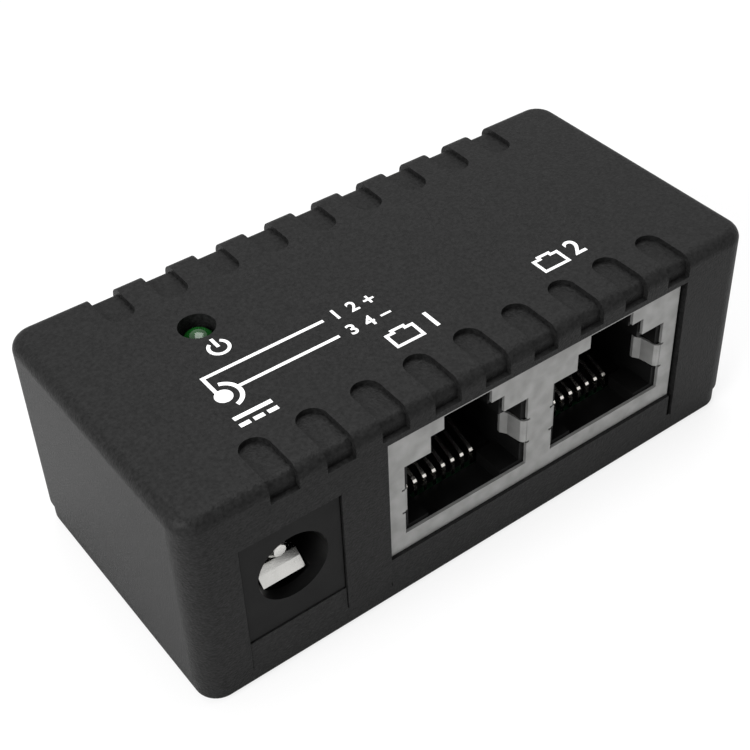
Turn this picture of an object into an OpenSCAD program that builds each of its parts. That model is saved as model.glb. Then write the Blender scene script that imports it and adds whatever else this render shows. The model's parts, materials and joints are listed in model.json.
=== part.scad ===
// Passive power-over-Ethernet injector.
// A small two-piece moulded case holds a circuit board with a DC barrel jack
// and a two-gang shielded RJ45 jack on one long side, and a status lamp that
// looks out through the top.
// Frame: origin at the bottom centre, X along the case, Z up, jacks facing -Y.
// All sizes are in millimetres.

/* [Case] */
// Length of the case along X
case_l = 58; // [56:0.5:70]
// Depth of the case along Y
case_d = 28; // [27:0.5:36]
// Height of the case
case_h = 20.5; // [20.5:0.1:26]
// Wall thickness of both mouldings
wall = 1.6; // [1.4:0.1:2]
// Radius of the four upright corners
corner_r = 2.2; // [1.8:0.1:4]
// Radius of the rounded edge around the top
edge_r = 1.2; // [0.7:0.1:1.5]
// Height of the parting line between the two mouldings
split_z = 2.3; // [2:0.1:2.6]
// How far the bottom moulding steps in from the top one
base_inset = 0.2; // [0.1:0.05:0.4]
// Thickness of the floor
floor_t = 1.4; // [1:0.1:1.6]

/* [Grip grooves] */
// Number of grooves along each long edge
groove_n = 9; // [3:1:10]
// Spacing of the grooves
groove_pitch = 5.06; // [4:0.02:6]
// Width of a groove
groove_w = 2.6; // [1.5:0.1:3.5]
// Length of a groove across the top, from the long face to its round end
groove_len = 5; // [3:0.1:8]
// Depth of a groove, on the top and on the face
groove_depth = 0.5; // [0.2:0.05:0.7]
// How far a groove runs down the long face
groove_drop = 2; // [1.5:0.1:2.2]

/* [Circuit board] */
// Height of the underside of the board
board_z = 3.35; // [3.2:0.05:3.6]
// Thickness of the board
board_t = 1.6; // [1:0.1:1.6]
// Gap from the board to the inside of the case
board_gap = 0.2; // [0.1:0.05:0.4]

/* [DC jack] */
// Distance from the left end of the case to the jack
dc_margin = 4.45; // [4:0.05:6]
// How far the jack stands behind the long face
dc_setback = 0.2; // [0:0.05:0.5]
// Width of the jack housing
dc_w = 9; // [8:0.1:11]
// Length of the jack housing
dc_l = 14.4; // [13:0.1:16]
// Height of the jack housing above the board
dc_h = 10.55; // [9:0.05:12]
// Height of the socket's axis above the board
dc_axis_h = 5.75; // [5.5:0.05:6.5]
// Diameter of the socket that takes the plug
dc_bore = 6.4; // [6:0.1:7.8]
// Depth of the socket
dc_depth = 9.6; // [8:0.1:10.5]
// Diameter of the centre pin
dc_pin = 2; // [1.6:0.05:2.5]
// Width of the spring leaf
leaf_w = 3.9; // [2:0.1:4.5]

/* [RJ45 jack] */
// Distance from the right end of the case to the shield
rj_margin = 7.95; // [5:0.05:10]
// How far the shield stands behind the long face
rj_setback = 0.4; // [0:0.05:0.8]
// Length of the shield behind its front face
rj_l = 18.6; // [17:0.1:22]
// Height of the shield above the board
rj_h = 12.95; // [12.6:0.05:14]
// Distance between the middles of the two ports
port_pitch = 15.7; // [15:0.1:20]
// Width of a port opening in the shield
port_w = 12.9; // [12.4:0.1:13.4]
// Metal left beside the outer edge of a port
port_rim = 1.65; // [1:0.05:3]
// Height of a port's sill above the board
port_sill = 1.8; // [1.6:0.05:2]
// Height of a port opening below its latch step
port_h = 7.55; // [7:0.05:8]
// Spacing of the contact wires
wire_pitch = 1.016; // [0.95:0.002:1.05]
// Number of contact wires in a port
wire_n = 8; // [4:2:8]
// Thickness of a contact wire
wire_t = 0.36; // [0.25:0.01:0.44]
// Slope of the sprung length of a contact wire, in degrees
wire_slope = 22.5; // [18:0.5:25]
// Thickness of the shield's sheet metal
sheet_t = 0.3; // [0.2:0.05:0.4]

/* [Lamp] */
// How far the lamp stands to the right of the DC jack's axis
led_dx = 3.85; // [3:0.05:5]
// Y position of the lamp
led_y = 4.7; // [3.5:0.1:8]
// Diameter of the lamp
led_d = 3; // [2:0.1:3.6]
// Gap between the lamp and the edge of its hole in the top
led_gap = 0.1; // [0.05:0.05:0.3]
// How far the tip of the lamp lies below the top
led_sink = 0.5; // [0:0.1:1]

/* [Output] */
// Piece to draw

/* [Hidden] */

$fn = 40;
e = 0.05;                              // overshoot of a cut past a face

black_plastic = [0.10, 0.10, 0.105];
dark_plastic = [0.06, 0.06, 0.065];
board_green = [0.05, 0.28, 0.13];
tin = [0.66, 0.66, 0.64];
nickel = [0.78, 0.77, 0.74];
lamp_green = [0.35, 0.75, 0.35];
resistor_blue = [0.35, 0.6, 0.75];

front = -case_d / 2;                   // Y of the long face with the jacks
board_top = board_z + board_t;
in_l = case_l - 2 * wall;              // inside of the case
in_d = case_d - 2 * wall;
ceiling = case_h - wall;
tail_z = floor_t + 0.7;                // lowest point of every lead
seat = 0.02;                           // gap under what stands on the board
fit_gap = 0.05;                        // gap round what sits in a housing

// Snap hooks on the two end walls
hook_w = 6;
hook_t = 0.9;
hook_h = 6;                            // height above the parting line
hook_nose = 0.55;
lip_gap = 0.1;
lip_t = 0.9;

// Board posts with a pin, near the two ends of the board
posts = [for (s = [-1, 1]) [s * (in_l / 2 - 3.1), 3.5]];
post_d = 4;
pin_d = 1.9;

// DC jack
dc_x = -case_l / 2 + dc_margin + dc_w / 2;
dc_front = front + dc_setback;
dc_axis_z = board_top + dc_axis_h;
dc_top = board_top + dc_h;
leaf_t = 0.25;
leaf_root = [dc_front + dc_depth - 0.7, dc_axis_z - dc_bore / 2 - 0.15];
leaf_swing = 10;                       // how far a plug pushes the leaf down, in degrees
spring_y = dc_front + dc_depth + 0.8;  // where the spring's terminal goes down
pin_y = dc_front + dc_depth + 2.1;     // where the pin's tail goes down
shank_d = dc_pin * 0.7;
switch_x = dc_x + dc_bore / 2 + 0.5;
switch_y = dc_front + dc_depth - 2.3;

// RJ45 jack
rj_w = port_pitch + port_w + 2 * port_rim;
rj_x = case_l / 2 - rj_margin - rj_w / 2;
rj_front = front + rj_setback;
rj_top = board_top + rj_h;
rj_back = rj_front + rj_l;
ports = [rj_x - port_pitch / 2, rj_x + port_pitch / 2];
sill_z = board_top + port_sill;
head_z = sill_z + port_h;
step_w = 7.6;                          // latch step above the plug opening
step_h = 1.74;
notch_w = 4.9;                         // latch notch above the step
notch_h = 3.1;
cavity_w = port_w - 1;                 // inside of the plug cavity
cavity_z = sill_z + 0.4;
cavity_top = head_z - 0.4;
finger_z = sill_z + 2.55;              // grounding fingers on the port's side edges
finger_h = 2.4;
finger_in = 1.04;                      // how far a finger leans into the port
bend_y = rj_front + 3.95;              // where the contact wires bend over
bend_z = cavity_z - 0.35;
comb_y = rj_front + 11.2;              // face of the comb at the back of a port
insert_top = bend_z - 0.05;
channel_z = board_top + 0.3;           // height of the wires under the insert
tail_rows = [rj_front + 9.8, rj_front + 12.34];
comb_w = wire_pitch * wire_n;

// Pegs under the wall between the ports, which locate the housing in the board
peg_d = 1.5;
pegs = [[rj_x, rj_front + 5], [rj_x, rj_front + 14]];

// Slots in the front wall of the top moulding, open at the parting line: left edge,
// right edge and top of each, and the right edge of the tab that closes it below
slot_gap = 0.12;
tab_gap = 0.08;
jack_slots = [[dc_x - dc_w / 2 - slot_gap, dc_x + dc_w / 2 + slot_gap, dc_top + tab_gap,
               dc_x + dc_w / 2 + slot_gap - tab_gap],
              [rj_x - rj_w / 2 - 0.15, rj_x + rj_w / 2 + 0.45, rj_top + tab_gap,
               rj_x + rj_w / 2]];

// Lamp and its series resistor
led_x = dc_x + led_dx;
led_hole = led_d + 2 * led_gap;
led_flange_z = board_top + 8.5;
led_pitch = 2.54;
resistor_y = in_d / 2 - 3.8;
resistor_leads = [-in_l / 2 + 2, -in_l / 2 + 8.8];

// ---------------------------------------------------------------- outlines

// Rectangle with four round corners, centred
module round_rect(l, d, r) {
    square([l - 2 * r, d], center = true);
    square([l, d - 2 * r], center = true);
    for (sx = [-1, 1], sy = [-1, 1])
        translate([sx * (l / 2 - r), sy * (d / 2 - r)]) circle(r);
}

// Quarter of a disc in the first quadrant
module quarter(r) {
    intersection() {
        circle(r);
        square([r + 1, r + 1]);
    }
}

// Centre lines become strips: the outline of a strip of thickness t along p
function unit(v) = v / norm(v);
function across(p, i) = let (
    a = unit(i > 0 ? p[i] - p[i - 1] : p[1] - p[0]),
    b = unit(i < len(p) - 1 ? p[i + 1] - p[i] : p[i] - p[i - 1]),
    m = unit(a + b))
    [-m[1], m[0]] / (a * m);
function strip(p, t) = concat(
    [for (i = [0 : len(p) - 1]) p[i] + across(p, i) * t / 2],
    [for (i = [len(p) - 1 : -1 : 0]) p[i] - across(p, i) * t / 2]);

// Extrude an outline that is drawn in the YZ plane, w wide about x
module yz(x, w) {
    translate([x - w / 2, 0, 0]) rotate([90, 0, 90]) linear_extrude(w) children();
}

// Extrude an outline that is drawn in the XZ plane, from y0 back to y1
module xz(y0, y1) {
    translate([0, y1, 0]) rotate([90, 0, 0]) linear_extrude(y1 - y0) children();
}

// Box from two opposite corners
module span(a, b) {
    translate(a) cube(b - a);
}

// ---------------------------------------------------------------- case

// Block with round upright corners and a rounded edge around its top
module soft_block(l, d, z0, z1, rc, re) {
    translate([0, 0, z0]) linear_extrude(z1 - re - z0) round_rect(l, d, rc);
    translate([0, 0, z1 - re]) {
        linear_extrude(re) round_rect(l - 2 * re, d - 2 * re, rc - re);
        for (s = [0, 180]) {
            rotate(s) translate([0, d / 2 - re, 0])
                rotate([90, 0, 90]) linear_extrude(l - 2 * rc, center = true) quarter(re);
            rotate(s + 90) translate([0, l / 2 - re, 0])
                rotate([90, 0, 90]) linear_extrude(d - 2 * rc, center = true) quarter(re);
        }
        for (sx = [0, 1], sy = [0, 1])
            mirror([sx, 0, 0]) mirror([0, sy, 0])
                translate([l / 2 - rc, d / 2 - rc, 0])
                    rotate_extrude(angle = 90) translate([rc - re, 0]) quarter(re);
    }
}

// Grip grooves: round-ended channels whose floor follows the rounded edge
module grooves() {
    difference() {
        for (s = [0, 180], i = [0 : groove_n - 1])
            rotate(s)
                translate([(i - (groove_n - 1) / 2) * groove_pitch, -case_d / 2, case_h - groove_drop])
                    linear_extrude(groove_drop + 1) {
                        translate([-groove_w / 2, -1]) square([groove_w, groove_len - groove_w / 2 + 1]);
                        translate([0, groove_len - groove_w / 2]) circle(groove_w / 2);
                    }
        soft_block(case_l - 2 * groove_depth, case_d - 2 * groove_depth, split_z,
                   case_h - groove_depth, corner_r - groove_depth, edge_r - groove_depth);
    }
}

// Top moulding: the five visible sides, with clamp posts that hold the board down
module top_cover() {
    color(black_plastic) {
        difference() {
            soft_block(case_l, case_d, split_z, case_h, corner_r, edge_r);
            translate([0, 0, split_z - e])
                linear_extrude(ceiling - split_z + e) round_rect(in_l, in_d, corner_r - wall);
            grooves();
            // slots for the jacks, open at the parting line
            for (j = jack_slots)
                span([j[0], front - 1, split_z - 1], [j[1], front + wall + e, j[2]]);
            // lamp hole
            translate([led_x, led_y, ceiling - 1]) cylinder(d = led_hole, h = wall + 2);
            // pockets that the snap hooks spring into
            for (s = [-1, 1])
                translate([s * (in_l / 2 + 0.3), 0, split_z + hook_h - 1])
                    cube([0.7, hook_w + 0.4, 1.7], center = true);
        }
        for (sx = [-1, 1], sy = [-1, 1])
            translate([sx * (in_l / 2 - 1.5), sy * (in_d / 2 - 1.8), board_top + 0.05])
                cylinder(d = 2.4, h = ceiling - board_top);
    }
}

// Snap hook on one end wall, drawn at +X
module snap_hook() {
    x1 = in_l / 2 - lip_gap;
    z1 = split_z + hook_h;
    xz(-hook_w / 2, hook_w / 2)
        polygon([[x1 - hook_t, split_z - 0.5], [x1, split_z - 0.5], [x1, z1 - 1.6],
                 [x1 + hook_nose, z1 - 1.6], [x1 + hook_nose, z1 - 1.2], [x1, z1],
                 [x1 - hook_t, z1]]);
}

// Bottom moulding: a tray with two tabs that close the jack slots
module bottom_cover() {
    bl = case_l - 2 * base_inset;
    bd = case_d - 2 * base_inset;
    color(black_plastic) {
        difference() {
            translate([0, 0, split_z]) mirror([0, 0, 1])
                soft_block(bl, bd, 0, split_z, corner_r - base_inset, 0.5);
            translate([0, 0, floor_t])
                linear_extrude(split_z) round_rect(in_l - 2 * lip_t - 0.2, in_d - 2 * lip_t - 0.2, 0.6);
        }
        // lip that locates the top moulding and carries the board
        translate([0, 0, split_z - 0.4]) linear_extrude(board_z - split_z + 0.4)
            difference() {
                round_rect(in_l - 2 * lip_gap, in_d - 2 * lip_gap, corner_r - wall);
                round_rect(in_l - 2 * lip_gap - 2 * lip_t, in_d - 2 * lip_gap - 2 * lip_t, 0.3);
            }
        for (s = [0, 1]) mirror([s, 0, 0]) snap_hook();
        // tabs that close the slots below the jacks
        for (j = jack_slots)
            span([j[0] + tab_gap, front + base_inset / 2, split_z - 0.6],
                 [j[3], front + wall - e, board_top - tab_gap]);
        for (p = posts) translate([p[0], p[1], floor_t - 0.4]) {
            cylinder(d = post_d, h = board_z - floor_t + 0.4);
            cylinder(d = pin_d, h = board_top - floor_t + 0.1);
        }
    }
}

// ---------------------------------------------------------------- board

// Circuit board, with a hole for every pin and lead that passes through it
module circuit_board() {
    l = in_l - 2 * board_gap;
    d = in_d - 2 * board_gap;
    color(board_green)
        difference() {
            translate([0, 0, board_z]) linear_extrude(board_t) round_rect(l, d, 0.5);
            for (s = [-1, 1])
                translate([s * in_l / 2, 0, board_z]) cube([2.8, hook_w + 0.6, 5], center = true);
            for (p = posts) hole(p, pin_d + 0.2);
            for (p = pegs) hole(p, peg_d + 0.2);
            for (c = ports, i = [0 : wire_n - 1])
                hole([wire_x(c, i), tail_rows[i % 2]], 0.75);
            for (s = [-1, 1])
                slot([rj_x + s * (rj_w / 2 - sheet_t / 2), rj_front + 8.4], [sheet_t + 0.4, 2]);
            slot([dc_x, spring_y], [2.8, leaf_t + 0.35]);
            slot([dc_x, pin_y], [dc_pin + 0.2, 0.8]);
            slot([switch_x, switch_y], [0.7, 2]);
            for (s = [-1, 1]) hole([led_x + s * led_pitch / 2, led_y], 0.9);
            for (x = resistor_leads) hole([x, resistor_y], 0.9);
        }
}

module hole(p, d) {
    translate([p[0], p[1], board_z - 1]) cylinder(d = d, h = board_t + 2);
}

module slot(p, s) {
    translate([p[0], p[1], board_z]) cube([s[0], s[1], 6], center = true);
}

// ---------------------------------------------------------------- RJ45 jack

// Front opening of one port: plug body, latch step, latch notch, and the slits
// that free the grounding fingers
module port_outline(c) {
    translate([c - port_w / 2, sill_z]) square([port_w, port_h]);
    translate([c - step_w / 2, head_z - e]) square([step_w, step_h + e]);
    translate([c - notch_w / 2, head_z - e]) square([notch_w, notch_h + e]);
    for (z = [finger_z - 0.2, finger_z + finger_h])
        translate([c - port_w / 2 - 0.3, z]) square([port_w + 0.6, 0.2]);
}

// Grounding finger on the right edge of a port: folded in from the face, it runs
// back along the cavity wall, then elbows in to meet the plug
module ground_finger() {
    w = port_w / 2;
    y = rj_front;
    t = sheet_t * 0.7;
    elbow = finger_in - t / 2;
    translate([0, 0, finger_z]) linear_extrude(finger_h)
        polygon(strip([[w + 0.02, y + sheet_t / 2], [w - 0.2, y + sheet_t / 2 + 0.04],
                       [w - 0.36, y + 0.42], [w - elbow * 0.62, y + 1.8], [w - elbow * 0.78, y + 2.05],
                       [w - elbow, y + 2.36], [w - elbow * 0.98, y + 2.56], [w - elbow * 0.8, y + 2.76]], t));
}

// Folded sheet-metal shield over both ports, open underneath, with board pegs
module jack_shield() {
    x0 = rj_x - rj_w / 2;
    x1 = rj_x + rj_w / 2;
    color(tin) {
        difference() {
            span([x0, rj_front, board_top], [x1, rj_back, rj_top]);
            span([x0 + sheet_t, rj_front + sheet_t, board_top - 1],
                 [x1 - sheet_t, rj_back - sheet_t, rj_top - sheet_t]);
            xz(rj_front - 1, rj_front + sheet_t + e)
                for (c = ports) port_outline(c);
        }
        for (c = ports) translate([c, 0, 0])
            for (s = [0, 1]) mirror([s, 0, 0]) ground_finger();
        for (x = [x0, x1 - sheet_t])
            span([x, rj_front + 7.6, tail_z], [x + sheet_t, rj_front + 9.2, board_top + 1]);
    }
}

// Plastic housing inside the shield, with two plug cavities and locating pegs
module jack_housing() {
    x0 = rj_x - rj_w / 2 + sheet_t + fit_gap;
    x1 = rj_x + rj_w / 2 - sheet_t - fit_gap;
    y0 = rj_front + sheet_t + fit_gap;
    y1 = rj_back - sheet_t - fit_gap;
    z1 = rj_top - sheet_t - fit_gap;
    color(dark_plastic) {
        difference() {
            span([x0, y0, board_top + seat], [x1, y1, z1]);
            for (c = ports) {
                // plug cavity, run through to the back for the contact insert
                span([c - cavity_w / 2, y0 - 1, cavity_z], [c + cavity_w / 2, y1 + 1, cavity_top]);
                span([c - cavity_w / 2, bend_y - 0.45, board_top - 1], [c + cavity_w / 2, y1 + 1, cavity_z + e]);
                // lower middle of the floor, between two plug rests
                span([c - comb_w / 2 + 0.2, y0 - 1, board_top + 0.9], [c + comb_w / 2 - 0.2, bend_y, cavity_z + e]);
                // latch channel
                span([c - step_w / 2 + 0.3, y0 - 1, cavity_top - e], [c + step_w / 2 - 0.3, comb_y - 2, head_z + step_h - 0.25]);
                span([c - notch_w / 2 + 0.15, y0 - 1, cavity_top - e], [c + notch_w / 2 - 0.15, comb_y - 2, z1 - 0.55]);
                // room for the grounding fingers
                span([c - port_w / 2 - 0.1, y0 - 1, finger_z - 0.15],
                     [c + port_w / 2 + 0.1, y0 + 2.9, finger_z + finger_h + 0.15]);
            }
        }
        for (p = pegs)
            translate([p[0], p[1], tail_z + 0.3]) cylinder(d = peg_d, h = board_top - tail_z);
    }
}

// Plastic carrier of one port's contacts: a base over the tails and a comb at the back
module contact_insert(c) {
    w = cavity_w - 0.3;
    y1 = rj_back - sheet_t - 0.15;
    color(dark_plastic)
        difference() {
            union() {
                span([c - w / 2, bend_y + 0.3, board_top + seat], [c + w / 2, y1, insert_top]);
                span([c - w / 2, comb_y, insert_top - 0.5], [c + w / 2, y1, cavity_top - 0.1]);
            }
            span([c - comb_w / 2, bend_y - 1, board_top - 1],
                 [c + comb_w / 2, tail_rows[1] + 0.6, channel_z + wire_t / 2 + 0.15]);
            for (i = [0 : wire_n - 1])
                span([wire_x(c, i) - 0.33, comb_y - 1, insert_top],
                     [wire_x(c, i) + 0.33, comb_y + 1.9, cavity_top - 2.2]);
        }
}

// X position of contact wire i of the port at c
function wire_x(c, i) = c + (i - (wire_n - 1) / 2) * wire_pitch;

// Sprung part of one port's contacts, from the front bend up to the comb
module contacts(c) {
    y = bend_y;
    z = bend_z;
    run = comb_y - y + 0.2;
    rise = run * tan(wire_slope);
    color(nickel)
        for (i = [0 : wire_n - 1])
            yz(wire_x(c, i), wire_t)
                polygon(strip([[y, z + 0.06], [y + 0.03, z + 0.2], [y + 0.14, z + 0.34],
                               [y + 0.34, z + 0.44], [y + run, z + 0.3 + rise], [y + run + 0.45, z + 0.35 + rise]], wire_t));
}

// Fixed part of one port's contacts, from the front bend down and back to the board
module contact_tails(c) {
    y = bend_y;
    z = channel_z;
    color(nickel)
        for (i = [0 : wire_n - 1], t = tail_rows[i % 2])
            yz(wire_x(c, i), wire_t)
                polygon(strip([[y, bend_z - 0.06], [y, z + 0.4], [y + 0.12, z + 0.12], [y + 0.4, z],
                               [t - 0.4, z], [t - 0.12, z - 0.12], [t, z - 0.4], [t, tail_z]], wire_t));
}

// ---------------------------------------------------------------- DC jack

// Moulded housing of the DC jack
module dc_housing() {
    r = dc_bore / 2;
    color(dark_plastic)
        difference() {
            span([dc_x - dc_w / 2, dc_front, board_top + seat], [dc_x + dc_w / 2, dc_front + dc_l, dc_top]);
            translate([dc_x, dc_front - 1, dc_axis_z]) rotate([-90, 0, 0])
                cylinder(d = dc_bore, h = dc_depth + 1);
            // hole for the centre pin's shank and pocket for its tail
            translate([dc_x, dc_front + 1, dc_axis_z]) rotate([-90, 0, 0])
                cylinder(d = shank_d + 2 * fit_gap, h = dc_depth + 2);
            span([dc_x - dc_w / 2 + 1.9, pin_y - 0.5, board_top - 1],
                 [dc_x + dc_w / 2 - 1.9, dc_front + dc_l + 1, dc_axis_z + 2]);
            // channel under the spring leaf and slot for its terminal
            span([dc_x - leaf_w / 2 - 0.2, dc_front + 1.2, dc_axis_z - r - 1.4],
                 [dc_x + leaf_w / 2 + 0.2, leaf_root[0] + 0.2, dc_axis_z - r + 1.1]);
            span([dc_x - leaf_w / 2 - 0.2, leaf_root[0] - 0.4, board_top - 1],
                 [dc_x + leaf_w / 2 + 0.2, spring_y + 0.3, leaf_root[1] + 0.35]);
            // slot for the switch terminal
            span([switch_x - 0.2, switch_y - 1.3, board_top - 1],
                 [switch_x + 0.2, switch_y + 1.3, dc_axis_z - 1]);
        }
}

// Centre pin: nose, barrel, thinner shank through the socket's back wall, and tail
module dc_centre_pin() {
    tip = dc_front + 1.9;
    nose = dc_pin * 0.25;
    shoulder = dc_front + dc_depth - fit_gap;
    color(nickel) {
        translate([dc_x, tip, dc_axis_z]) rotate([-90, 0, 0])
            cylinder(d1 = dc_pin * 0.55, d2 = dc_pin, h = nose);
        translate([dc_x, tip + nose, dc_axis_z]) rotate([-90, 0, 0])
            cylinder(d = dc_pin, h = shoulder - tip - nose);
        translate([dc_x, shoulder, dc_axis_z]) rotate([-90, 0, 0])
            cylinder(d = shank_d, h = pin_y + 0.2 - shoulder);
        span([dc_x - dc_pin * 0.45, pin_y - 0.2, tail_z], [dc_x + dc_pin * 0.45, pin_y + 0.2, dc_axis_z]);
    }
}

// Sleeve spring: the leaf that presses on the plug, with a ramp at its front
module dc_spring() {
    y = leaf_root[0];
    z = leaf_root[1];
    color(nickel)
        yz(dc_x, leaf_w)
            polygon(strip([[y, z], [y - 1.3, z + 0.15], [y - 4.8, z + 1.38], [y - 5.4, z + 1.55],
                           [y - 5.95, z + 1.5], [y - 6.5, z + 1.12], [y - 7.2, z + 0.42]], leaf_t));
}

// Fixed end of the sleeve spring, bent down through the board
module dc_spring_terminal() {
    y = leaf_root[0] + 0.2;
    z = leaf_root[1];
    color(nickel) {
        yz(dc_x, leaf_w)
            polygon(strip([[y, z], [spring_y - 0.3, z], [spring_y, z - 0.3],
                           [spring_y, board_top + 0.6]], leaf_t));
        yz(dc_x, 2.4)
            polygon(strip([[spring_y, z - 0.6], [spring_y, tail_z]], leaf_t));
    }
}

// Terminal of the switch contact beside the socket
module dc_switch_terminal() {
    color(nickel) {
        span([switch_x - 0.15, switch_y - 1.1, board_top + 0.4], [switch_x + 0.15, switch_y + 1.1, dc_axis_z - 1.2]);
        span([switch_x - 0.15, switch_y - 0.8, tail_z], [switch_x + 0.15, switch_y + 0.8, board_top + 1]);
    }
}

// ---------------------------------------------------------------- lamp

// Moulded lens of the lamp: flange, barrel and dome
module led_lens() {
    dome_z = case_h - led_sink - led_d / 2;
    color(lamp_green)
        translate([led_x, led_y, 0]) {
            translate([0, 0, led_flange_z]) cylinder(d = led_d + 0.8, h = 1);
            translate([0, 0, led_flange_z]) cylinder(d = led_d, h = dome_z - led_flange_z);
            translate([0, 0, dome_z]) sphere(d = led_d);
        }
}

// The two legs of the lamp
module led_leads() {
    color(nickel)
        for (s = [-1, 1])
            span([led_x + s * led_pitch / 2 - 0.25, led_y - 0.25, tail_z],
                 [led_x + s * led_pitch / 2 + 0.25, led_y + 0.25, led_flange_z]);
}

// Series resistor of the lamp, with bent leads
module led_resistor() {
    z = board_top + 1.2;
    color(resistor_blue)
        translate([resistor_leads[0] + 0.65, resistor_y, z]) rotate([0, 90, 0])
            cylinder(d = 2, h = resistor_leads[1] - resistor_leads[0] - 1.3);
    color(tin)
        for (x = resistor_leads, m = resistor_leads[0] + resistor_leads[1])
            xz(resistor_y - 0.22, resistor_y + 0.22)
                polygon(strip(x < m / 2 ? [[x, tail_z], [x, z - 0.3], [x + 0.3, z], [x + 1.2, z]]
                                        : [[x, tail_z], [x, z - 0.3], [x - 0.3, z], [x - 1.2, z]], 0.44));
}

// ---------------------------------------------------------------- nodes

top_cover();
bottom_cover();
circuit_board();
jack_shield();
jack_housing();
contact_insert(ports[0]);  // contact_insert_1
contact_insert(ports[1]);  // contact_insert_2
contacts(ports[0]);  // contacts_1
contacts(ports[1]);  // contacts_2
contact_tails(ports[0]);  // contact_tails_1
contact_tails(ports[1]);  // contact_tails_2
dc_housing();
dc_centre_pin();
dc_spring();
dc_spring_terminal();
dc_switch_terminal();
led_lens();
led_leads();
led_resistor();
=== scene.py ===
# %% [markdown]
# # A power injector for network cables
# The object is a black moulded box, 58 mm long, with a barrel power socket and two
# shielded network ports along one long side, and a small lamp in the top. The packed
# model gives every part its place, so it is loaded first, and each mark added later
# is made in the same coordinates. Sizes are written in millimetres, because that is
# how such parts are drawn, and turned into metres only when a mesh is made.

# %% Load the frame
import json
import math

import bmesh
import bpy
from mathutils import Matrix, Vector


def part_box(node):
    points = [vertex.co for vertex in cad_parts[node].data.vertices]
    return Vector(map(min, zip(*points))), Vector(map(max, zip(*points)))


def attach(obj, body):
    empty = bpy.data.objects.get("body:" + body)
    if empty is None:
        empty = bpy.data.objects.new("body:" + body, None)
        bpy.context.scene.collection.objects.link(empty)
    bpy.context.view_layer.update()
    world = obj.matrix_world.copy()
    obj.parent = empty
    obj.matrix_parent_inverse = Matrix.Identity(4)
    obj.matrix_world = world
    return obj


MM = 0.001
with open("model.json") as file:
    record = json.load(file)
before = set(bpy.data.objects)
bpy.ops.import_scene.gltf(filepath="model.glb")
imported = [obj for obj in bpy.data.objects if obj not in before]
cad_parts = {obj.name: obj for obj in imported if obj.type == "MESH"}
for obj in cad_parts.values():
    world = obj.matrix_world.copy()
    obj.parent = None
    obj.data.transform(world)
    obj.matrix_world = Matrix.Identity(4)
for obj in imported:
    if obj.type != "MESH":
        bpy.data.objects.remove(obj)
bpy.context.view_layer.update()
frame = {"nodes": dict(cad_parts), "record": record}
for name in sorted(frame["nodes"]):
    low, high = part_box(name)
    print(f"{name:20s}", " x ".join(f"{side / MM:.2f}" for side in high - low), "mm")


# %% [markdown]
# ## The camera
# The box is seen from its front left and from above. A camera can be placed by hand,
# by a Track To constraint, or from three measured angles. The angles are used here,
# because they also hold the small roll of a camera that was not quite level. The lens
# shift moves the frame sideways without turning the camera, which keeps the lines of
# the box running to the same vanishing points.

# %% Camera
YAW, PITCH, ROLL = math.radians(37.73), math.radians(-39.94), math.radians(-0.68)
LENS, SENSOR = 68.96, 36.0
SHIFT_X, SHIFT_Y = -0.0716, -0.0474
STAND = (-0.056424, -0.077945, 0.094134)
forward = Vector((math.sin(YAW) * math.cos(PITCH), math.cos(YAW) * math.cos(PITCH), math.sin(PITCH)))
level = Vector((math.cos(YAW), -math.sin(YAW), 0))
rise = level.cross(forward)
right = math.cos(ROLL) * level + math.sin(ROLL) * rise
up = -math.sin(ROLL) * level + math.cos(ROLL) * rise

camera_data = bpy.data.cameras.new("camera")
camera_data.lens, camera_data.sensor_width = LENS, SENSOR
camera_data.shift_x, camera_data.shift_y = SHIFT_X, SHIFT_Y
camera_data.clip_start = 0.01
camera = bpy.data.objects.new("camera", camera_data)
turn = Matrix((right, up, -forward)).transposed().to_4x4()
camera.matrix_world = Matrix.Translation(STAND) @ turn
bpy.context.scene.collection.objects.link(camera)
bpy.context.scene.camera = camera
print("camera distance", round(camera.location.length / MM), "mm")

# %% [markdown]
# ## Making thin solid marks
# A printed mark is a flat outline with a little thickness. It could be drawn as a curve
# with an extrusion, but points joined into faces in code give a closed mesh at once.
# Where two strokes cross they are joined with the Boolean modifier, so that no two
# faces lie on top of each other, which would show as dark specks. The modifier is
# applied at once, so that a mark is plain mesh.

# %% Mesh helpers
def new_piece(name, verts, faces):
    """Object from millimetre points, with its faces turned outwards."""
    mesh = bpy.data.meshes.new(name)
    bm = bmesh.new()
    made = [bm.verts.new(Vector(v) * MM) for v in verts]
    for face in faces:
        bm.faces.new([made[i] for i in face])
    bmesh.ops.recalc_face_normals(bm, faces=bm.faces)
    bm.to_mesh(mesh)
    bm.free()
    piece = bpy.data.objects.new(name, mesh)
    bpy.context.scene.collection.objects.link(piece)
    return piece


def lift(name, outline, low, high):
    """Solid between two heights over an outline drawn in plan."""
    n = len(outline)
    verts = [(x, y, z) for z in (low, high) for x, y in outline]
    sides = [(i, (i + 1) % n, (i + 1) % n + n, i + n) for i in range(n)]
    return new_piece(name, verts, [tuple(range(n)), tuple(range(n, 2 * n))] + sides)


def plain_mesh(item):
    """The item's mesh with its modifiers worked in."""
    graph = bpy.context.evaluated_depsgraph_get()
    return bpy.data.meshes.new_from_object(item.evaluated_get(graph))


def join(piece, *others):
    """Fuse the others into the piece and remove them."""
    for other in others:
        union = piece.modifiers.new("union", "BOOLEAN")
        union.object, union.operation, union.solver = other, "UNION", "EXACT"
    mesh = plain_mesh(piece)
    piece.modifiers.clear()
    piece.data = mesh
    for other in others:
        bpy.data.objects.remove(other)
    return piece


def shade(piece, angle=30):
    """Smooth shading that stays crisp across real edges."""
    for face in piece.data.polygons:
        face.use_smooth = True
    piece.data.set_sharp_from_angle(angle=math.radians(angle))
    weighted = piece.modifiers.new("normals", "WEIGHTED_NORMAL")
    weighted.keep_sharp = True
    return piece


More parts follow.
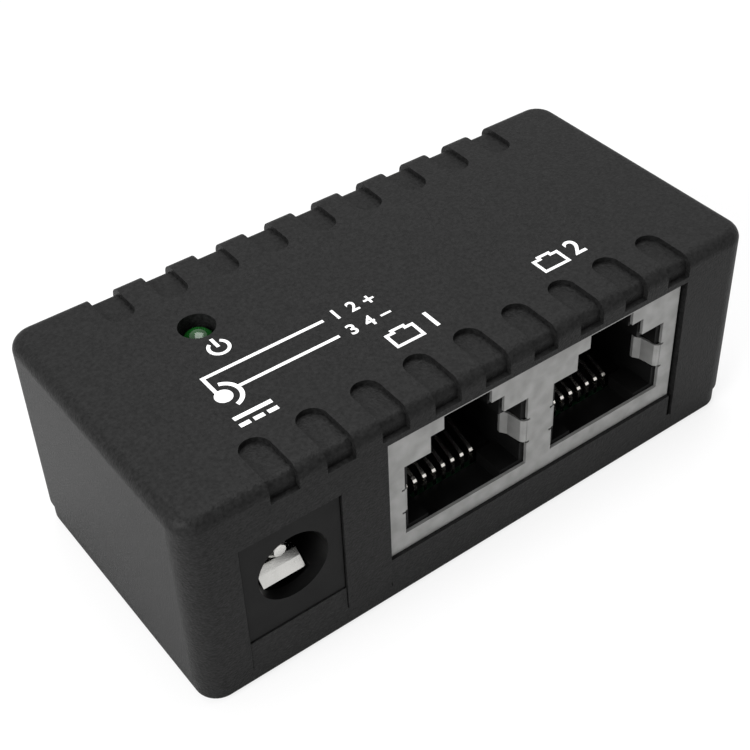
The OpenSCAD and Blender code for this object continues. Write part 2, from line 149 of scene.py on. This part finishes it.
# %% [markdown]
# ## Finishes
# Black moulded plastic is never one flat colour: spark-eroded tools leave a fine grain
# that scatters the light. A picture could carry that grain, but noise inside the
# material keeps its scale at any distance. Each finish below is one noise for the tone
# and one for the grain, which the Bump node turns into relief and which also sways the gloss.

# %% Finish helper
GRAIN_DEPTH = 0.05


def noise(tree, size, detail):
    """Noise whose features are about size millimetres wide."""
    node = tree.nodes.new("ShaderNodeTexNoise")
    node.inputs["Scale"].default_value = 1 / (size * MM)
    node.inputs["Detail"].default_value = detail
    place = tree.nodes.new("ShaderNodeTexCoord")
    tree.links.new(place.outputs["Object"], node.inputs["Vector"])
    return node.outputs["Fac"]


def finish(name, dark, light, rough, metallic=0.0, grain=0.2, relief=0.1, cloud=3.0, specular=0.5):
    """Material whose tone drifts over cloud mm and whose surface has a grain in mm."""
    mat = bpy.data.materials.new(name)
    mat.use_nodes = True
    tree = mat.node_tree
    shader = tree.nodes["Principled BSDF"]
    shader.inputs["Metallic"].default_value = metallic
    shader.inputs["Specular IOR Level"].default_value = specular

    ramp = tree.nodes.new("ShaderNodeValToRGB")
    for stop, position, tone in zip(ramp.color_ramp.elements, (0.3, 0.7), (dark, light)):
        stop.position, stop.color = position, (*tone, 1)
    tree.links.new(noise(tree, cloud, 4), ramp.inputs["Fac"])
    tree.links.new(ramp.outputs["Color"], shader.inputs["Base Color"])

    fine = noise(tree, grain, 2)
    bump = tree.nodes.new("ShaderNodeBump")
    bump.inputs["Strength"].default_value = relief
    bump.inputs["Distance"].default_value = GRAIN_DEPTH * MM
    tree.links.new(fine, bump.inputs["Height"])
    tree.links.new(bump.outputs["Normal"], shader.inputs["Normal"])

    gloss = tree.nodes.new("ShaderNodeMapRange")
    gloss.inputs["To Min"].default_value = rough - 0.06
    gloss.inputs["To Max"].default_value = rough + 0.06
    tree.links.new(fine, gloss.inputs["Value"])
    tree.links.new(gloss.outputs["Result"], shader.inputs["Roughness"])
    return mat


# %% [markdown]
# ## One finish for each kind of part
# The case is matt and grained, the jacks inside it are smoother, and the shield is
# dull tin plate with faint clouds. Contacts, pin and spring are bright plated metal.
# All could share one node group, but a material of its own keeps each one easy to tune.

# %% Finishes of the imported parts
def grey(level):
    return (level, level, level)


FINISHES = {
    "case_black": finish("case_black", grey(0.004), grey(0.012), 0.5,
                         grain=0.2, relief=1.0, cloud=0.3, specular=0.09),
    "jack_black": finish("jack_black", grey(0.003), grey(0.006), 0.4, relief=0.12, specular=0.06),
    "board_green": finish("board_green", (0.01, 0.08, 0.03), (0.02, 0.13, 0.05), 0.3),
    "shield_tin": finish("shield_tin", (0.2, 0.2, 0.195), (0.27, 0.27, 0.265), 0.55,
                         metallic=0.7, grain=0.3, relief=0.15, cloud=1.2),
    "contact_metal": finish("contact_metal", (0.62, 0.6, 0.56), (0.76, 0.74, 0.69), 0.22,
                            metallic=1.0, relief=0.05),
    "pin_metal": finish("pin_metal", (0.5, 0.5, 0.48), (0.62, 0.61, 0.59), 0.25,
                        metallic=1.0, relief=0.06),
    "spring_metal": finish("spring_metal", (0.5, 0.5, 0.48), (0.64, 0.63, 0.61), 0.25,
                           metallic=1.0, relief=0.06),
    "lamp_green": finish("lamp_green", (0.004, 0.05, 0.006), (0.01, 0.11, 0.016), 0.12,
                         relief=0.04, cloud=1),
    "lead_tin": finish("lead_tin", (0.55, 0.55, 0.53), (0.68, 0.68, 0.66), 0.35, metallic=1.0),
    "resistor_blue": finish("resistor_blue", (0.15, 0.32, 0.45), (0.2, 0.4, 0.55), 0.3),
}
lamp_shader = FINISHES["lamp_green"].node_tree.nodes["Principled BSDF"]
lamp_shader.inputs["Transmission Weight"].default_value = 0.5
print("finishes:", ", ".join(FINISHES))

# %% [markdown]
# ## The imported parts
# These parts already have their true form, down to each contact wire, so they stay and
# take a finish. What a drawing leaves sharp, a mould or a press leaves slightly round:
# a Bevel modifier adds that radius, small enough to fit the smallest gap.

# %% Put the finishes on and round the edges
EDGE = {"top_cover": 0.12, "bottom_cover": 0.1, "jack_shield": 0.05, "jack_housing": 0.08,
        "dc_housing": 0.08, "circuit_board": 0.05}
SMALL_EDGE = 0.04
SHARP = math.radians(40)
for part in frame["record"]["subparts"]:
    piece = frame["nodes"][part["node"]]
    piece.data.materials.clear()
    piece.data.materials.append(FINISHES[part["material_slot"]])
    edge = piece.modifiers.new("edge", "BEVEL")
    edge.width = EDGE.get(part["node"], SMALL_EDGE) * MM
    edge.segments, edge.limit_method = 2, "ANGLE"
    edge.angle_limit = SHARP
    edge.use_clamp_overlap = True
    shade(piece)

# %% [markdown]
# ## The printed legend
# White ink is pad-printed on the top: a wiring diagram from the power socket to the
# numbered wire pairs, and a mark at each port. Ink has a small thickness, so each mark
# is a thin raised piece and not a painted patch. The marks are plain numbers and signs.

# %% Ink and its strokes
ink = finish("print_white", grey(0.72), grey(0.82), 0.55, grain=0.12, relief=0.2, cloud=0.6)
INK = 0.02
SUNK = 0.01
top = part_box("top_cover")[1].z / MM


def belongs(mark):
    """The mark moves with the case."""
    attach(mark, "injector")
    print(f"{mark.name}: {len(mark.data.polygons)} faces")
    return mark


def print_mark(name, *outlines):
    """Ink laid on the top, with the strokes of one mark fused."""
    strokes = [lift(f"{name}_stroke", o, top - SUNK, top + INK) for o in outlines]
    mark = join(*strokes)
    mark.name = mark.data.name = name
    mark.data.materials.append(ink)
    return belongs(mark)


def bar(x0, y0, x1, y1, width):
    """Outline of a straight stroke with square ends."""
    along = Vector((x1 - x0, y1 - y0)).normalized() * width / 2
    across = Vector((-along.y, along.x))
    a, b = Vector((x0, y0)) - along, Vector((x1, y1)) + along
    return [tuple(a - across), tuple(b - across), tuple(b + across), tuple(a + across)]


def arc(x, y, radius, width, start, end, steps=24):
    """Outline of a curved stroke between two angles in degrees."""
    turn = [math.radians(start + (end - start) * i / steps) for i in range(steps + 1)]
    outer, inner = [[(x + r * math.cos(a), y + r * math.sin(a)) for a in turn]
                    for r in (radius + width / 2, radius - width / 2)]
    return outer + inner[::-1]


def disc(x, y, radius, steps=40):
    """Outline of a full round spot."""
    turn = [2 * math.pi * i / steps for i in range(steps)]
    return [(x + radius * math.cos(a), y + radius * math.sin(a)) for a in turn]


# %% [markdown]
# ## Figures
# Numbers have curves that are tedious to outline by hand. A text object already has
# them, so each figure starts as text, is thickened a little, and becomes plain mesh.

# %% Figures
SIZE_OF_HEIGHT = 1.38
BOLD = 0.035


def figure(text, x, y, height, name):
    """Plain number as a thin raised piece."""
    curve = bpy.data.curves.new(name, "FONT")
    curve.body, curve.size = text, height * SIZE_OF_HEIGHT * MM
    curve.align_x = curve.align_y = "CENTER"
    curve.extrude, curve.offset = INK / 2 * MM, BOLD * MM
    curve.materials.append(ink)
    text_object = bpy.data.objects.new(name, curve)
    text_object.location = Vector((x, y, top + INK / 2)) * MM
    bpy.context.scene.collection.objects.link(text_object)
    bpy.context.view_layer.update()
    mesh = plain_mesh(text_object)
    mesh.transform(text_object.matrix_world)
    bpy.data.objects.remove(text_object)
    mark = bpy.data.objects.new(name, mesh)
    bpy.context.scene.collection.objects.link(mark)
    return belongs(mark)


# %% [markdown]
# ## The wiring diagram
# Two lines run from a small picture of the plug to the numbers of the wire pairs. They
# are single strokes, fused with the picture, so the corners close as in one printing.

# %% Wiring diagram
LINE = 0.32
THIN = 0.22
UPPER, LOWER = -1.2, -3.6
LEFT, UPPER_END, LOWER_END = -19.25, -8.0, -8.1
PLUG_X, PLUG_Y = -19.0, -3.9
print_mark("legend_wires",
           bar(LEFT, UPPER, UPPER_END, UPPER, LINE),
           bar(LEFT, PLUG_Y, LEFT, UPPER, LINE),
           bar(-17.5, LOWER, LOWER_END, LOWER, LINE),
           disc(PLUG_X, PLUG_Y, 0.75),
           arc(PLUG_X, PLUG_Y, 1.45, 0.38, -75, 75))

# %% Pair numbers and their signs
FIRST, SECOND, SIGN = -6.6, -4.9, -3.3
for text, x, y in (("1", FIRST, UPPER), ("2", SECOND, UPPER), ("3", FIRST, LOWER), ("4", SECOND, LOWER)):
    figure(text, x, y, 1.3, f"legend_pair_{text}")
print_mark("legend_plus",
           bar(SIGN - 0.4, UPPER, SIGN + 0.4, UPPER, THIN),
           bar(SIGN, UPPER - 0.4, SIGN, UPPER - 0.12, THIN),
           bar(SIGN, UPPER + 0.12, SIGN, UPPER + 0.4, THIN))
print_mark("legend_minus", bar(SIGN - 0.4, LOWER, SIGN + 0.4, LOWER, THIN))

# %% [markdown]
# ## Signs at the jack and the lamp
# A line over three dashes is the common sign for direct current, and a broken ring with
# a stroke is the common sign for power. Both are drawn from the same two strokes.

# %% Signs
print_mark("legend_current", bar(-19.6, -6.6, -16.6, -6.6, 0.42),
           *[bar(x, -7.5, x + 0.5, -7.5, 0.42) for x in (-19.6, -18.35, -17.1)])
LAMP_X, LAMP_SIGN_Y = -16.2, 1.3
print_mark("legend_on",
           arc(LAMP_X, LAMP_SIGN_Y, 0.85, 0.3, 125, 415),
           bar(LAMP_X, LAMP_SIGN_Y + 0.2, LAMP_X, LAMP_SIGN_Y + 1.1, 0.3))

# %% [markdown]
# ## Marks at the ports
# Each port has the outline of its socket, latch side up, and its number. The outline is
# six strokes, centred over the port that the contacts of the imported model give.

# %% Port marks
PEN = 0.3
MARK_Y = -6.6
for n in (1, 2):
    low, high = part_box(f"contacts_{n}")
    middle = round((low.x + high.x) / 2 / MM, 3)
    strokes = [(-2.3, -1.0, 0.3, -1.0), (-2.3, -0.7, -2.3, 0.6), (0.3, -0.7, 0.3, 0.6),
               (-2.0, 0.6, -1.6, 0.6), (-0.4, 0.6, 0.0, 0.6), (-1.6, 0.9, -0.4, 0.9)]
    outlines = [bar(middle + a, MARK_Y + b, middle + c, MARK_Y + d, PEN) for a, b, c, d in strokes]
    print_mark(f"legend_port_{n}", *outlines)
    figure(str(n), middle + 1.9, MARK_Y, 2.1, f"legend_number_{n}")

# %% [markdown]
# ## Floor and light
# A black object needs large soft lights: it shows its form by what it reflects. The
# floor is pale and catches the shadow. Part of it glows for the camera alone, so that
# it reads as white paper and yet throws no extra light on the object. A broad light
# from the left lifts the end of the case, and one from above evens the top.

# %% Floor
REACH, DROP = 1500, -0.01
floor = new_piece("floor", [(-REACH, -REACH, DROP), (REACH, -REACH, DROP),
                            (REACH, REACH, DROP), (-REACH, REACH, DROP)], [(0, 1, 2, 3)])
pale = bpy.data.materials.new("floor_white")
pale.use_nodes = True
nodes, links = pale.node_tree.nodes, pale.node_tree.links
nodes["Principled BSDF"].inputs["Base Color"].default_value = (0.8, 0.8, 0.8, 1)
nodes["Principled BSDF"].inputs["Roughness"].default_value = 0.9
glow = nodes.new("ShaderNodeEmission")
seen = nodes.new("ShaderNodeLightPath")
share = nodes.new("ShaderNodeMath")
share.operation = "MULTIPLY"
share.inputs[1].default_value = 0.75
mix = nodes.new("ShaderNodeMixShader")
links.new(seen.outputs["Is Camera Ray"], share.inputs[0])
links.new(share.outputs[0], mix.inputs[0])
links.new(nodes["Principled BSDF"].outputs[0], mix.inputs[1])
links.new(glow.outputs[0], mix.inputs[2])
links.new(mix.outputs[0], nodes["Material Output"].inputs["Surface"])
floor.data.materials.append(pale)

# %% [markdown]
# ## The world
# The world is the white room round the object. What the camera, a reflection or a clear
# part sees of it is full white, while the light it throws is less than half of that, so
# the lamps still shape the object. Light Path tells these kinds of ray apart.

# %% World
world = bpy.data.worlds.new("studio")
bpy.context.scene.world = world
world.use_nodes = True
nodes, links = world.node_tree.nodes, world.node_tree.links
path = nodes.new("ShaderNodeLightPath")
first, second = nodes.new("ShaderNodeMath"), nodes.new("ShaderNodeMath")
first.operation = second.operation = "MAXIMUM"
links.new(path.outputs["Is Camera Ray"], first.inputs[0])
links.new(path.outputs["Is Glossy Ray"], first.inputs[1])
links.new(first.outputs[0], second.inputs[0])
links.new(path.outputs["Is Transmission Ray"], second.inputs[1])
level_of = nodes.new("ShaderNodeMapRange")
level_of.inputs["To Min"].default_value = 0.45
level_of.inputs["To Max"].default_value = 1.0
links.new(second.outputs[0], level_of.inputs["Value"])
links.new(level_of.outputs[0], nodes["Background"].inputs["Strength"])
nodes["Background"].inputs["Color"].default_value = (1, 1, 1, 1)

# %% Lamps
def softbox(name, place, target, size, power):
    """Square lamp that looks at a point, all in millimetres and watts."""
    data = bpy.data.lights.new(name, "AREA")
    data.size, data.energy = size * MM, power
    lamp_object = bpy.data.objects.new(name, data)
    lamp_object.location = Vector(place) * MM
    aim = (Vector(target) - Vector(place)).to_track_quat("-Z", "Y")
    lamp_object.rotation_euler = aim.to_euler()
    bpy.context.scene.collection.objects.link(lamp_object)


softbox("left_light", (-260, -60, 160), (0, 0, 10), 160, 1.1)
softbox("top_light", (40, 60, 320), (0, 0, 10), 240, 1.0)

# %% View settings and the closing lines
bpy.context.scene.view_settings.view_transform = "Standard"
